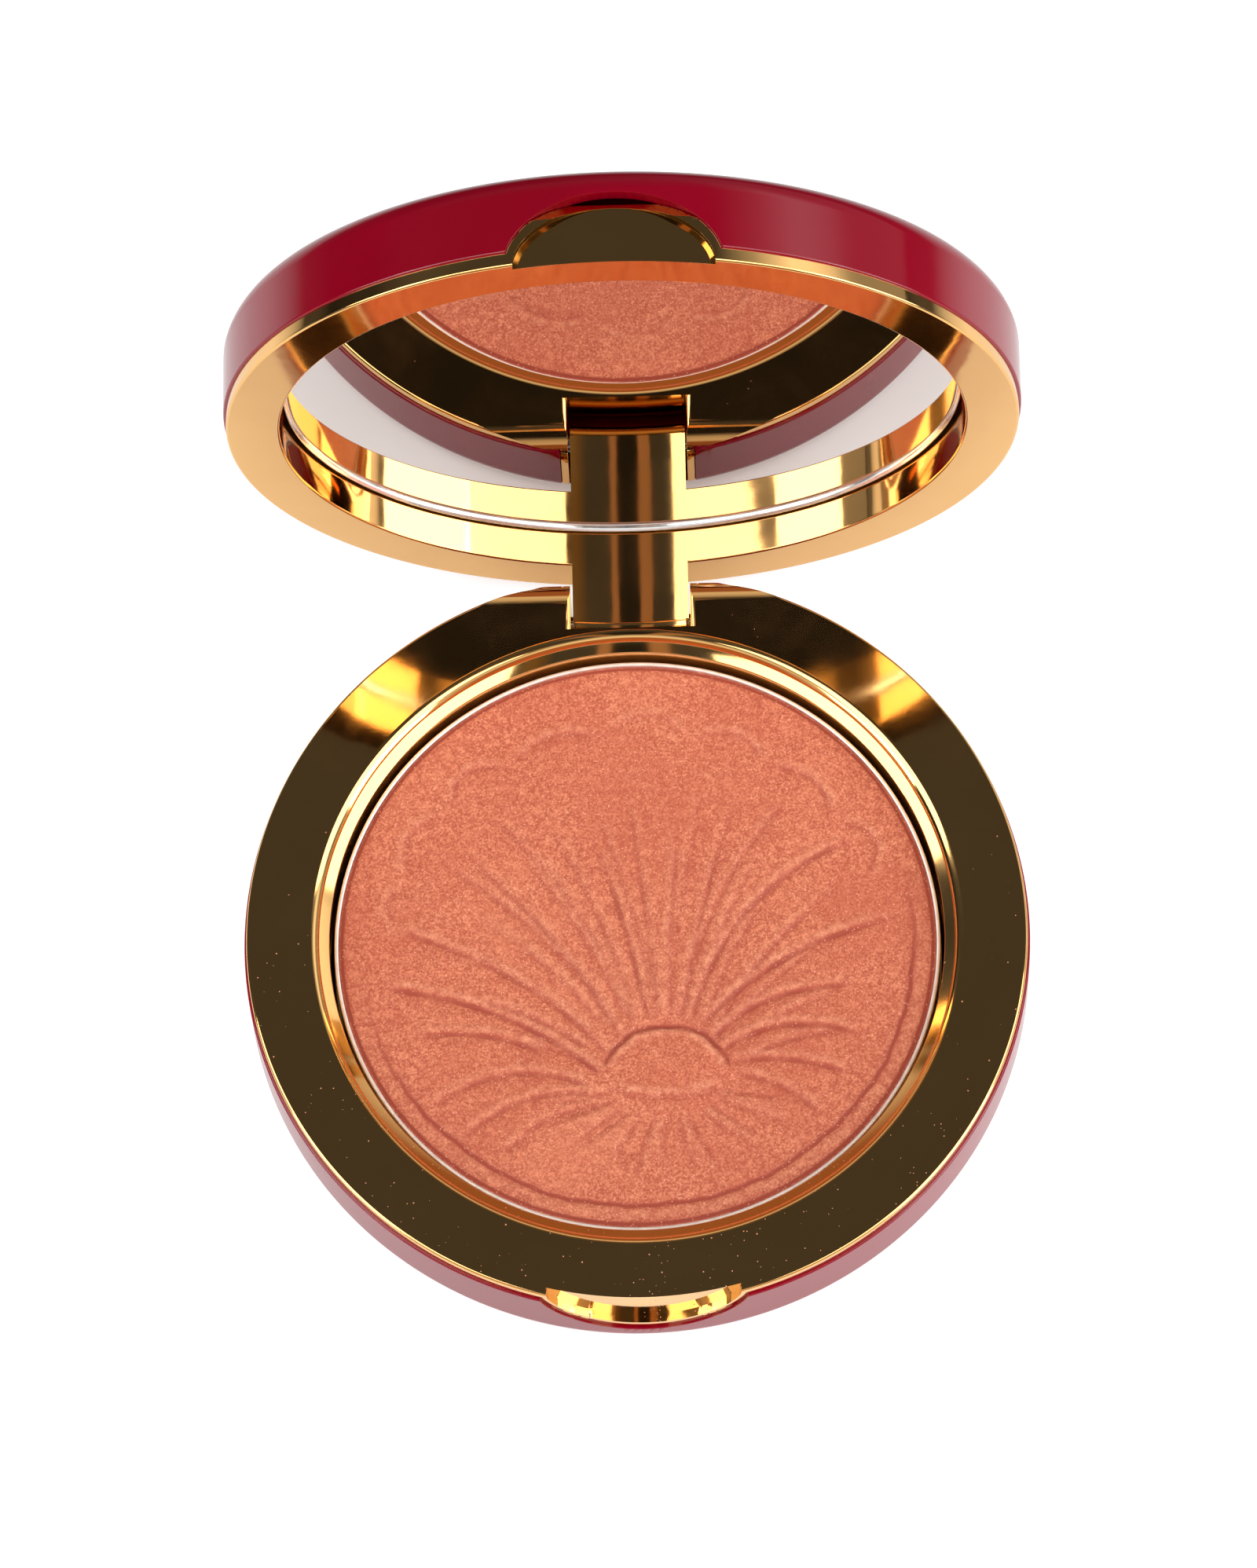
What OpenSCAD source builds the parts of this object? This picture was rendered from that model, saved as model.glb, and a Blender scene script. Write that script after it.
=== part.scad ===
// Round hinged powder compact: two lacquered half shells on a metallised
// inner frame, a glass mirror in the lid and a pan of pressed powder in the
// base. All lengths are in millimetres. The origin is the centre of the flat
// underside, +Z is up, -Y is the front with the thumb recess, and the hinge
// is at +Y. The lid is drawn closed inside its modules and then swung open
// about the hinge axis.

/* [Case] */
// Outer radius of the two lacquered shells
case_r = 38.05; // [38.05:0.05:39]
// Radius of the metallised trim bands and of both rims
trim_r = 37.8; // [37.7:0.05:37.8]
// Height of each visible trim band
trim_h = 1.3; // [1:0.1:1.4]
// Height of the base, from the underside to the deck
base_h = 9.9; // [9.8:0.1:10]
// Thickness of the lid, from its rim to its top
lid_h = 9.6; // [9.4:0.1:10.5]
// Gap between the two rims when the lid is shut
rim_gap = 0.1; // [0.08:0.01:0.15]
// Wall thickness of the shells
wall = 1.5; // [1.4:0.1:1.6]
// Edge rounding of the base shell
base_round = 2.2; // [2:0.1:2.4]
// Edge rounding of the lid shell
lid_round = 2.6; // [2.2:0.1:2.8]

/* [Powder well] */
// Radius of the opening of the well in the deck
well_r = 31.6; // [31.4:0.05:31.6]
// Radius of the well's straight lower wall
well_foot_r = 29.75; // [29.75:0.05:29.9]
// Depth of the pan's rim below the deck
rim_depth = 2.8; // [2.7:0.05:3.0]
// Outer radius of the pan
pan_r = 29.4; // [29.2:0.05:29.45]
// Sheet thickness of the pan
pan_t = 0.4; // [0.3:0.05:0.5]
// Height the powder's middle stands above the pan's rim
powder_crown = 0.35; // [0:0.05:0.8]

/* [Mirror] */
// Radius of the lid's opening
mouth_r = 32.68; // [32.5:0.02:32.7]
// Depth of the mirror's face below the lid's rim
mirror_depth = 3.5; // [3.3:0.1:3.7]
// Radius of the mirror glass
mirror_r = 32.4; // [32:0.1:32.4]
// Thickness of the mirror glass
mirror_t = 1.3; // [1:0.1:1.5]

/* [Hinge] */
// Distance of the hinge axis behind the centre
hinge_y = 34.33; // [34.3:0.01:34.4]
// Height of the hinge axis below the deck
hinge_drop = 5.86; // [5.8:0.01:5.9]
// Radius of the hinge pin
pin_r = 0.75; // [0.7:0.01:0.78]
// Half length of the hinge pin
pin_half = 9.5; // [9:0.1:10]
// Half width of the lid's hinge tongue
tongue_half = 5.7; // [5.2:0.1:5.7]
// Half width of the notch that the tongue swings in
notch_half = 5.9; // [5.85:0.05:6.0]
// Thickness of the metallised cheeks that line the notch in the shell
cheek_t = 0.7; // [0.6:0.05:0.8]
// Opening angle of the lid on its stop
open_angle = 90.68; // [0:0.01:90.68]

/* [Thumb recess] */
// Half width of the opening in the shells
thumb_a = 10.15; // [9.8:0.05:10.3]
// Height of the opening in each shell, from the rim
thumb_b = 6.6; // [6.2:0.1:6.7]
// Half width of the dished part inside its lip
dish_a = 9.3; // [9:0.1:9.4]
// Height of the dished part, from the rim
dish_b = 5.35; // [5:0.05:5.5]
// Radius of the dished wall
dish_r = 37.0; // [36.95:0.05:37.1]

/* [Closure] */
// Radius of the closing magnets
magnet_r = 1.5; // [1.4:0.05:1.5]
// Height of the closing magnets
magnet_h = 2; // [1.5:0.1:2.2]
// Distance of the magnets from the centre
magnet_ring = 34.6; // [34.5:0.05:34.65]
// Angle of each magnet from the front
magnet_angle = 24; // [20:1:40]

/* [Hidden] */
$fn = 96;
e = 0.01;
lacquer = [0.53, 0.01, 0.11];
gold = [0.90, 0.68, 0.38];
powder_col = [0.88, 0.52, 0.40];

skirt_r = case_r - wall - 0.05;       // outer radius of the frames inside the shells
seat_z = wall;                        // top of the base shell's floor
floor_z = seat_z + 0.95;              // floor of the powder well
hinge_z = base_h - hinge_drop;        // height of the hinge axis
rim_z = base_h + rim_gap;             // plane of the lid's rim, shut
top_z = rim_z + lid_h;                // top of the lid, shut
mirror_z = rim_z + mirror_depth;      // face of the mirror, shut
back_z = mirror_z + mirror_t;         // back of the mirror, shut
tape_t = 0.3;                         // mirror adhesive
ceil_z = back_z + tape_t;             // underside of the lid frame's ceiling, shut
pan_z = floor_z + 0.15;               // underside of the pan
pan_rim_z = base_h - rim_depth;       // rim of the pan
roll_r = 3.1;                         // rounding of the deck in front of the hinge
slot_half = notch_half + cheek_t + 0.1; // half width of the slot in the shell

// points of an arc about [x, y], in degrees, n steps
function arc(x, y, r, a0, a1, n) = [for (i = [0 : n]) let (a = a0 + (a1 - a0) * i / n) [x + r * cos(a), y + r * sin(a)]];
// half ellipse points, half width a, height b, from +x over the top to -x
function half_oval(a, b, n) = [for (i = [0 : n]) [a * cos(180 * i / n), b * sin(180 * i / n)]];

// solid of revolution about Z from a list of [radius, height]
module turned(pts) { rotate_extrude($fn = 144) polygon(pts); }

// tall oval prism through the front wall, up = 1 for the lid and -1 for the base
module front_oval(a, b, z, up) {
    translate([0, -dish_r + 6, z]) rotate([90, 0, 0]) linear_extrude(height = 12)
        polygon([for (p = half_oval(a, b, 56)) [p[0], up * p[1]]]);
}

// same prism, closed past the rim plane so that it cuts clean through it
module front_cut(a, b, z, up) {
    front_oval(a, b, z, up);
    translate([-a, -dish_r - 6, up > 0 ? z - 1 : z - e]) cube([2 * a, 12, 1 + e]);
}

// everything outside radius r, for limiting a cut to the outer wall
module outside(r, z0, z1) {
    translate([0, 0, z0]) difference() {
        cylinder(r = case_r + 4, h = z1 - z0, $fn = 144);
        translate([0, 0, -1]) cylinder(r = r, h = z1 - z0 + 2, $fn = 144);
    }
}

// the corner that the lid's rim sweeps through behind the hinge axis
module roll_cut() {
    difference() {
        translate([-18, hinge_y + 0.07, base_h - roll_r]) cube([36, 8, roll_r + 2]);
        translate([-19, hinge_y + 0.07, base_h - roll_r]) rotate([0, 90, 0]) cylinder(r = roll_r, h = 38, $fn = 96);
    }
}

// places children at the closing magnets
module at_magnets() {
    for (s = [-1, 1]) rotate([0, 0, s * magnet_angle]) translate([0, -magnet_ring, 0]) children();
}

// swings a shut lid piece open about the hinge axis
module opened() {
    translate([0, hinge_y, hinge_z]) rotate([-open_angle, 0, 0]) translate([0, -hinge_y, -hinge_z]) children();
}

// ---- base -------------------------------------------------------------

// red lacquered cup: rounded foot, thin wall, slot for the hinge tongue
module base_shell() {
    color(lacquer) difference() {
        turned(concat([[0, 0]],
            arc(case_r - base_round, base_round, base_round, -90, 0, 12),
            arc(case_r - 0.25, base_h - trim_h - 0.25, 0.25, 0, 90, 4),
            [[case_r - wall, base_h - trim_h], [case_r - wall, seat_z + 1]],
            arc(case_r - wall - 1, seat_z + 1, 1, 0, -90, 6), [[0, seat_z]]));
        // recess for the label
        translate([0, 0, -1]) cylinder(r = 15.2, h = 1.12, $fn = 96);
        // thumb opening
        intersection() {
            front_cut(thumb_a, thumb_b, base_h, -1);
            outside(case_r - wall - 0.5, seat_z + 0.2, base_h + 2);
        }
        // hinge slot
        translate([-slot_half, hinge_y - 0.85, 0.7]) cube([2 * slot_half, 8, base_h + 2]);
        roll_cut();
    }
}

// metallised frame: trim band, deck, sloping well, hinge ears, thumb dish
module base_frame() {
    color(gold) difference() {
        union() {
            difference() {
                turned(concat([[0, seat_z], [skirt_r - 1.1, seat_z], [skirt_r, seat_z + 1.1],
                    [skirt_r, base_h - trim_h], [trim_r - 0.12, base_h - trim_h], [trim_r, base_h - trim_h + 0.12]],
                    arc(trim_r - 0.3, base_h - 0.3, 0.3, 0, 90, 5), [[0, base_h]]));
                // hollow under the deck
                turned([[31, seat_z - e], [skirt_r - 1.2, seat_z - e], [skirt_r - 1.2, base_h - 2.1],
                    [skirt_r - 1.6, base_h - 1.6], [32.9, base_h - 1.6], [31, base_h - 3.6]]);
            }
            // solid hinge block
            intersection() {
                translate([-10.6, 30.2, seat_z]) cube([21.2, 8, base_h - seat_z - 1]);
                translate([0, 0, seat_z]) turned([[0, 0], [skirt_r - 1.1, 0], [skirt_r, 1.1], [skirt_r, 9], [0, 9]]);
            }
            // cheeks that line the shell's slot and end flush with its outside
            intersection() {
                translate([-notch_half - cheek_t, hinge_y - 0.8, 0.8]) cube([2 * (notch_half + cheek_t), 8, base_h - trim_h - 0.8]);
                turned(concat([[30, 0.8]], arc(case_r - base_round, base_round, base_round - 0.02, -40, 0, 8),
                    [[case_r - 0.02, base_h - trim_h], [30, base_h - trim_h]]));
            }
            // magnet bosses
            at_magnets() intersection() {
                translate([0, 0, base_h - 4.2]) cylinder(r = magnet_r + 1.1, h = 3.2, $fn = 48);
                translate([0, magnet_ring, 0]) cylinder(r = skirt_r, h = base_h, $fn = 144);
            }
            // pad behind the thumb opening
            intersection() {
                front_oval(thumb_a - 0.06, thumb_b - 0.06, base_h - 0.4, -1);
                turned([[31, seat_z + 0.5], [trim_r, seat_z + 0.5], [trim_r, base_h - 0.4], [31, base_h - 0.4]]);
            }
            intersection() {
                translate([-thumb_a + 0.06, -trim_r - 1, base_h - 1]) cube([2 * thumb_a - 0.12, 4, 0.6]);
                turned([[34, base_h - 1], [trim_r, base_h - 1], [trim_r, base_h - 0.4], [34, base_h - 0.4]]);
            }
        }
        // well: straight foot, shallow sloping ledge, short steep step, rounded edge
        turned(concat([[0, floor_z], [well_foot_r - 0.2, floor_z], [well_foot_r, floor_z + 0.2],
            [well_foot_r, base_h - 1.55], [well_foot_r + 0.08, base_h - 1.45],
            [well_r - 0.84, base_h - 0.97], [well_r - 0.7, base_h - 0.85]],
            arc(well_r, base_h - 0.5, 0.5, 170, 90, 6),
            [[well_r, base_h + 1], [0, base_h + 1]]));
        // magnet pockets
        at_magnets() translate([0, 0, base_h - 4.2 - e]) cylinder(r = magnet_r + 0.05, h = 4.2 - 1.6 + e, $fn = 48);
        // thumb dish
        intersection() {
            front_cut(dish_a, dish_b, base_h, -1);
            outside(dish_r, seat_z, base_h + 2);
        }
        // notch for the tongue
        translate([-notch_half, hinge_y - 2.43, 0.5]) cube([2 * notch_half, 10, base_h + 2]);
        // pin bore through both ears
        translate([-16, hinge_y, hinge_z]) rotate([0, 90, 0]) cylinder(r = pin_r, h = 32, $fn = 48);
        roll_cut();
    }
}

// ring of adhesive that holds the pan to the floor of the well
module pan_adhesive() {
    color([0.85, 0.83, 0.75]) translate([0, 0, floor_z]) difference() {
        cylinder(r = 24, h = 0.15);
        translate([0, 0, -1]) cylinder(r = 14, h = 3);
    }
}

// drawn aluminium pan with a rounded foot and a folded rim
module powder_pan() {
    color([0.85, 0.83, 0.80]) turned(concat([[0, pan_z]],
        arc(pan_r - 0.8, pan_z + 0.8, 0.8, -90, 0, 6),
        arc(pan_r - 0.2, pan_rim_z - 0.2, 0.2, 0, 180, 6),
        arc(pan_r - 0.8, pan_z + 0.8, 0.8 - pan_t, 0, -90, 6), [[0, pan_z + pan_t]]));
}

// pressed powder: crowned middle, pressed border groove, low edge
module powder_cake() {
    r = pan_r - pan_t - 0.02;
    c = pan_rim_z;
    color(powder_col) turned(concat([[0, pan_z + pan_t + 0.01], [r - 0.5, pan_z + pan_t + 0.01], [r, pan_z + pan_t + 0.5],
        [r, c - 0.45], [r - 0.3, c - 0.2], [r - 1.5, c - 0.15], [r - 2.0, c - 0.5], [r - 2.5, c - 0.12]],
        [for (i = [0 : 8]) let (t = i / 8) [(r - 3) * (1 - t), c - 0.1 + (powder_crown + 0.1) * sin(90 * t)]]));
}

// two closing magnets under the deck
module base_magnets() {
    color([0.62, 0.63, 0.65]) at_magnets() translate([0, 0, base_h - 1.6 - magnet_h]) cylinder(r = magnet_r, h = magnet_h, $fn = 48);
}

// blank round label, flush in the underside
module base_label() {
    color([0.92, 0.88, 0.80]) cylinder(r = 15, h = 0.12, $fn = 96);
}

// steel pin, fixed in the base's two ears, with chamfered ends
module hinge_pin() {
    color([0.75, 0.75, 0.78]) translate([0, hinge_y, hinge_z]) rotate([0, 90, 0]) rotate_extrude($fn = 48)
        polygon([[0, -pin_half], [pin_r - 0.2, -pin_half], [pin_r, -pin_half + 0.2],
                 [pin_r, pin_half - 0.2], [pin_r - 0.2, pin_half], [0, pin_half]]);
}

// ---- lid --------------------------------------------------------------

// red lacquered cap with a rounded top edge
module lid_shell() {
    z0 = rim_z + trim_h;
    color(lacquer) opened() difference() {
        turned(concat([[0, top_z - wall]],
            arc(case_r - lid_round, top_z - lid_round, lid_round - wall, 90, 0, 6),
            [[case_r - wall, z0]],
            arc(case_r - 0.25, z0 + 0.25, 0.25, -90, 0, 4),
            arc(case_r - lid_round, top_z - lid_round, lid_round, 0, 90, 12), [[0, top_z]]));
        intersection() {
            front_cut(thumb_a, thumb_b, rim_z, 1);
            outside(case_r - wall - 0.5, rim_z - 2, top_z - wall - 0.2);
        }
    }
}

// metallised frame: trim band, rim, mirror seat, hinge tongue, thumb dish
module lid_frame() {
    k = mouth_r;
    color(gold) opened() difference() {
        union() {
            difference() {
                turned(concat([[0, rim_z]], arc(trim_r - 0.3, rim_z + 0.3, 0.3, -90, 0, 5),
                    [[trim_r, rim_z + trim_h - 0.12], [trim_r - 0.12, rim_z + trim_h], [skirt_r, rim_z + trim_h],
                    [skirt_r, ceil_z + 0.6], [skirt_r - 0.4, ceil_z + 1], [0, ceil_z + 1]]));
                // groove behind the rim
                turned([[34.05, rim_z + 1.6], [skirt_r - 1.2, rim_z + 1.6], [skirt_r - 1.2, ceil_z + 2], [34.05, ceil_z + 2]]);
            }
            // ribs that carry the shell's top
            for (i = [0 : 5]) rotate([0, 0, 60 * i + 30]) translate([14, -0.5, ceil_z + 0.5]) cube([18, 1, top_z - wall - ceil_z - 0.5]);
            // solid root of the tongue
            intersection() {
                translate([-9, 33, rim_z + 1]) cube([18, 6, ceil_z - rim_z]);
                cylinder(r = skirt_r, h = ceil_z + 1, $fn = 144);
            }
            // magnet bosses
            at_magnets() intersection() {
                translate([0, 0, rim_z + 1]) cylinder(r = magnet_r + 1.1, h = 3.2, $fn = 48);
                translate([0, magnet_ring, 0]) cylinder(r = skirt_r, h = 40, $fn = 144);
            }
            // pad behind the thumb opening
            intersection() {
                front_oval(thumb_a - 0.06, thumb_b - 0.06, rim_z + 0.4, 1);
                turned([[33, rim_z + 0.4], [trim_r, rim_z + 0.4], [trim_r, ceil_z + 0.6], [33, ceil_z + 0.6]]);
            }
            intersection() {
                translate([-thumb_a + 0.06, -trim_r - 1, rim_z + 0.4]) cube([2 * thumb_a - 0.12, 4, 0.6]);
                turned([[34, rim_z + 0.4], [trim_r, rim_z + 0.4], [trim_r, rim_z + 1], [34, rim_z + 1]]);
            }
            // tongue with its knuckle, turned about the case's axis
            intersection() {
                turned(concat([[k, rim_z + 1]], arc(hinge_y, hinge_z, hinge_y - k, 180, 300, 12),
                    [[37.3, hinge_z - 0.25], [37.55, hinge_z], [37.55, rim_z + 1]]));
                translate([-tongue_half, 28, hinge_z - 3]) cube([2 * tongue_half, 12, 12]);
            }
        }
        // mouth and mirror seat
        turned(concat([[0, rim_z - 9]], [[k, rim_z - 9], [k, ceil_z], [0, ceil_z]]));
        turned([[0, rim_z - 0.5], [k + 0.75, rim_z - 0.5], [k - 0.25, rim_z + 0.5], [0, rim_z + 0.5]]);
        // magnet pockets
        at_magnets() translate([0, 0, rim_z + 1.6]) cylinder(r = magnet_r + 0.05, h = 4, $fn = 48);
        // thumb dish
        intersection() {
            front_cut(dish_a, dish_b, rim_z, 1);
            outside(dish_r, rim_z - 2, ceil_z + 3);
        }
        // running bore for the pin
        translate([-16, hinge_y, hinge_z]) rotate([0, 90, 0]) cylinder(r = pin_r + 0.05, h = 32, $fn = 48);
    }
}

// round mirror with a ground edge
module mirror_glass() {
    color([0.86, 0.88, 0.90]) opened() turned([[0, mirror_z], [mirror_r - 0.25, mirror_z], [mirror_r, mirror_z + 0.25],
        [mirror_r, back_z - 0.15], [mirror_r - 0.15, back_z], [0, back_z]]);
}

// round adhesive pad behind the mirror
module mirror_adhesive() {
    color([0.9, 0.9, 0.88]) opened() translate([0, 0, back_z]) cylinder(r = 30, h = tape_t);
}

// two magnets behind the lid's rim
module lid_magnets() {
    color([0.62, 0.63, 0.65]) opened() at_magnets() translate([0, 0, rim_z + 1.6]) cylinder(r = magnet_r, h = magnet_h, $fn = 48);
}

base_shell();
base_frame();
pan_adhesive();
powder_pan();
powder_cake();
base_magnets();
base_label();
hinge_pin();
lid_shell();
lid_frame();
mirror_glass();
mirror_adhesive();
lid_magnets();
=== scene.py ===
import bpy, bmesh, math
import numpy as np
from mathutils import Matrix, Vector


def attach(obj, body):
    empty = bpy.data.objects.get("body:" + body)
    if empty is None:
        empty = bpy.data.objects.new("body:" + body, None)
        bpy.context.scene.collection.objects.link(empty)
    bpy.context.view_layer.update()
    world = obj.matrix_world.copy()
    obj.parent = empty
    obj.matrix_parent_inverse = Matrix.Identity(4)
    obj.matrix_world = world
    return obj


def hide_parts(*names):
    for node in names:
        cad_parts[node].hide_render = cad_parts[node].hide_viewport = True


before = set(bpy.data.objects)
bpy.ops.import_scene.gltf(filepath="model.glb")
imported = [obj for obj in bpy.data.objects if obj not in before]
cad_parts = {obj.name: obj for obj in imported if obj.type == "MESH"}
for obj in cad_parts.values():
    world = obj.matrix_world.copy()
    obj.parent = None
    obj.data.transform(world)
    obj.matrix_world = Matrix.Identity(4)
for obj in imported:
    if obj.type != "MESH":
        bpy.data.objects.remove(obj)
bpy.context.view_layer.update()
MM = 0.001
SEG = 288

# ------------------------------------------------------------------ sizes
# millimetres, in the row frame, as the CAD has them
CASE_R, TRIM_R, TRIM_H = 38.05, 37.8, 1.3
BASE_H, LID_H, RIM_GAP, WALL = 9.9, 9.6, 0.1, 1.5
BASE_ROUND, LID_ROUND = 2.2, 2.6
WELL_R, FOOT_R, RIM_DEPTH = 31.6, 29.75, 2.8
PAN_R, PAN_T = 29.4, 0.4
MOUTH_R, MIRROR_DEPTH, MIRROR_R, MIRROR_T = 32.68, 3.5, 32.4, 1.3
HINGE_Y, HINGE_Z = 34.33, 4.04
TONGUE, NOTCH, CHEEK = 5.7, 5.9, 6.6
THUMB_A, THUMB_B, DISH_A, DISH_B, DISH_R = 10.15, 6.6, 9.3, 5.35, 37.0
OPEN = math.radians(90.68)
SKIRT_R = CASE_R - WALL - 0.05
SEAT_Z = WALL
FLOOR_Z = SEAT_Z + 0.95
PAN_Z = FLOOR_Z + 0.15
PAN_RIM = BASE_H - RIM_DEPTH
RIM_Z = BASE_H + RIM_GAP
TOP_Z = RIM_Z + LID_H
MIRROR_Z = RIM_Z + MIRROR_DEPTH
BACK_Z = MIRROR_Z + MIRROR_T
CEIL_Z = BACK_Z + 0.3

HINGE = Vector((0, HINGE_Y, HINGE_Z))
OPENED = Matrix.Translation(HINGE) @ Matrix.Rotation(-OPEN, 4, "X") @ Matrix.Translation(-HINGE)

# ------------------------------------------------------------------ meshes


def add(name, bm):
    """A new object from a bmesh in millimetres."""
    bmesh.ops.recalc_face_normals(bm, faces=bm.faces)
    me = bpy.data.meshes.new(name)
    bm.to_mesh(me)
    bm.free()
    ob = bpy.data.objects.new(name, me)
    bpy.context.scene.collection.objects.link(ob)
    return ob


def soft(path, n=5, hold=0.12):
    """A polyline of (r, z) whose corners with a third number are rounded to that radius, with a holding point beside each round."""
    out = []
    k = len(path)
    for i, p in enumerate(path):
        if len(p) < 3 or p[2] <= 0 or i in (0, k - 1):
            out.append((p[0], p[1]))
            continue
        a, b, c = Vector(path[i - 1][:2]), Vector(p[:2]), Vector(path[(i + 1) % k][:2])
        u, v = (a - b), (c - b)
        lu, lv = u.length, v.length
        u.normalize()
        v.normalize()
        ang = math.acos(max(-1, min(1, u.dot(v))))
        t = min(p[2] / math.tan(ang / 2), lu * 0.48, lv * 0.48)
        r = t * math.tan(ang / 2)
        o = b + (u + v).normalized() * (r / math.sin(ang / 2))
        s, e = b + u * t, b + v * t
        a0 = math.atan2(s.y - o.y, s.x - o.x)
        a1 = math.atan2(e.y - o.y, e.x - o.x)
        d = (a1 - a0 + math.pi) % (2 * math.pi) - math.pi
        if lu * 0.5 > t + hold:
            q = s + u * hold
            out.append((q.x, q.y))
        m = max(1, min(n, round(r * abs(d) / 0.06)))
        for j in range(m + 1):
            w = a0 + d * j / m
            out.append((o.x + r * math.cos(w), o.y + r * math.sin(w)))
        if lv * 0.5 > t + hold:
            q = e + v * hold
            out.append((q.x, q.y))
    return out


def lathe(name, path, seg=SEG, closed=False):
    """A solid of revolution about Z. A path starts and ends on the axis, or is a closed ring."""
    bm = bmesh.new()
    rings = []
    cs = [(math.cos(2 * math.pi * (j + 0.5) / seg), math.sin(2 * math.pi * (j + 0.5) / seg)) for j in range(seg)]
    for r, z in path:
        if r < 1e-6:
            rings.append([bm.verts.new((0, 0, z))])
        else:
            rings.append([bm.verts.new((r * c, r * s, z)) for c, s in cs])
    pairs = list(zip(rings, rings[1:])) + ([(rings[-1], rings[0])] if closed else [])
    for a, b in pairs:
        if len(a) == 1 and len(b) == 1:
            continue
        for j in range(seg):
            k = (j + 1) % seg
            if len(a) == 1:
                bm.faces.new((a[0], b[j], b[k]))
            elif len(b) == 1:
                bm.faces.new((a[k], a[j], b[0]))
            else:
                bm.faces.new((a[j], b[j], b[k], a[k]))
    return add(name, bm)


def prism_xz(name, loop, y0, y1):
    """A closed (x, z) outline drawn out along Y."""
    bm = bmesh.new()
    a = [bm.verts.new((x, y0, z)) for x, z in loop]
    b = [bm.verts.new((x, y1, z)) for x, z in loop]
    bm.faces.new(a)
    bm.faces.new(list(reversed(b)))
    for i in range(len(loop)):
        j = (i + 1) % len(loop)
        bm.faces.new((a[i], a[j], b[j], b[i]))
    return add(name, bm)


def prism_yz(name, loop, x0, x1):
    bm = bmesh.new()
    a = [bm.verts.new((x0, y, z)) for y, z in loop]
    b = [bm.verts.new((x1, y, z)) for y, z in loop]
    bm.faces.new(a)
    bm.faces.new(list(reversed(b)))
    for i in range(len(loop)):
        j = (i + 1) % len(loop)
        bm.faces.new((a[i], a[j], b[j], b[i]))
    return add(name, bm)


def block(name, lo, hi):
    return prism_xz(name, [(lo[0], lo[2]), (hi[0], lo[2]), (hi[0], hi[2]), (lo[0], hi[2])], lo[1], hi[1])


def oval(a, b, z, up, past=1.0, n=72):
    """Half oval outline below (up -1) or above (up 1) the plane z, running past it."""
    pts = [(a * math.cos(math.pi * i / n), z + up * b * math.sin(math.pi * i / n)) for i in range(n + 1)]
    return pts + [(-a, z - up * past), (a, z - up * past)]


def boolean(ob, other, how):
    m = ob.modifiers.new("cut", "BOOLEAN")
    m.operation = how
    m.object = other
    m.solver = "EXACT"
    dg = bpy.context.evaluated_depsgraph_get()
    me = bpy.data.meshes.new_from_object(ob.evaluated_get(dg))
    ob.modifiers.clear()
    old = ob.data
    ob.data = me
    bpy.data.meshes.remove(old)
    od = other.data
    bpy.data.objects.remove(other)
    bpy.data.meshes.remove(od)
    return ob


def tidy(ob, merge=0.02):
    """Joins the slivers that a cut leaves and lays flat faces together again."""
    bm = bmesh.new()
    bm.from_mesh(ob.data)
    bmesh.ops.remove_doubles(bm, verts=bm.verts, dist=merge)
    bmesh.ops.dissolve_degenerate(bm, edges=bm.edges, dist=0.004)
    bmesh.ops.dissolve_limit(bm, angle_limit=math.radians(0.05), verts=bm.verts, edges=bm.edges)
    loose = [v for v in bm.verts if not v.link_faces]
    if loose:
        bmesh.ops.delete(bm, geom=loose, context="VERTS")
    bmesh.ops.recalc_face_normals(bm, faces=bm.faces)
    bad = sum(1 for e in bm.edges if len(e.link_faces) != 2)
    print("tidy", ob.name, "faces", len(bm.faces), "edges not shared by two faces", bad)
    bm.to_mesh(ob.data)
    bm.free()
    return ob


def bevel(ob, width=0.06, n=3, angle=32, skip=None):
    """Small rounds on every edge sharper than the angle, but for the ones whose middle skip() names."""
    bm = bmesh.new()
    bm.from_mesh(ob.data)
    lim = math.radians(angle)
    edges = []
    for e in bm.edges:
        if len(e.link_faces) == 2 and e.calc_face_angle(0) > lim:
            m = (e.verts[0].co + e.verts[1].co) / 2
            if skip is None or not skip(m):
                edges.append(e)
    bmesh.ops.bevel(bm, geom=edges, offset=width, offset_type="OFFSET", segments=n, profile=0.5, affect="EDGES",
                    clamp_overlap=True, miter_outer="ARC", spread=0.02)
    bmesh.ops.recalc_face_normals(bm, faces=bm.faces)
    bm.to_mesh(ob.data)
    bm.free()
    return ob


def place(ob, body, mat, slot, *nodes, lid=False, angle=40, weighted=True):
    """Millimetres to metres, the lid swung open, smooth shading, material, body."""
    me = ob.data
    if lid:
        me.transform(OPENED)
    me.transform(Matrix.Scale(MM, 4))
    me.validate()
    for p in me.polygons:
        p.use_smooth = True
    me.set_sharp_from_angle(angle=math.radians(angle))
    if weighted:
        w = ob.modifiers.new("even_normals", "WEIGHTED_NORMAL")
        w.mode = "FACE_AREA"
        w.weight = 60
        w.thresh = 0.01
        w.keep_sharp = True
    me.materials.clear()
    me.materials.append(mat)
    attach(ob, body)
    if nodes:
        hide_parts(*nodes)
    return ob


# ------------------------------------------------------------------ materials


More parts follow.
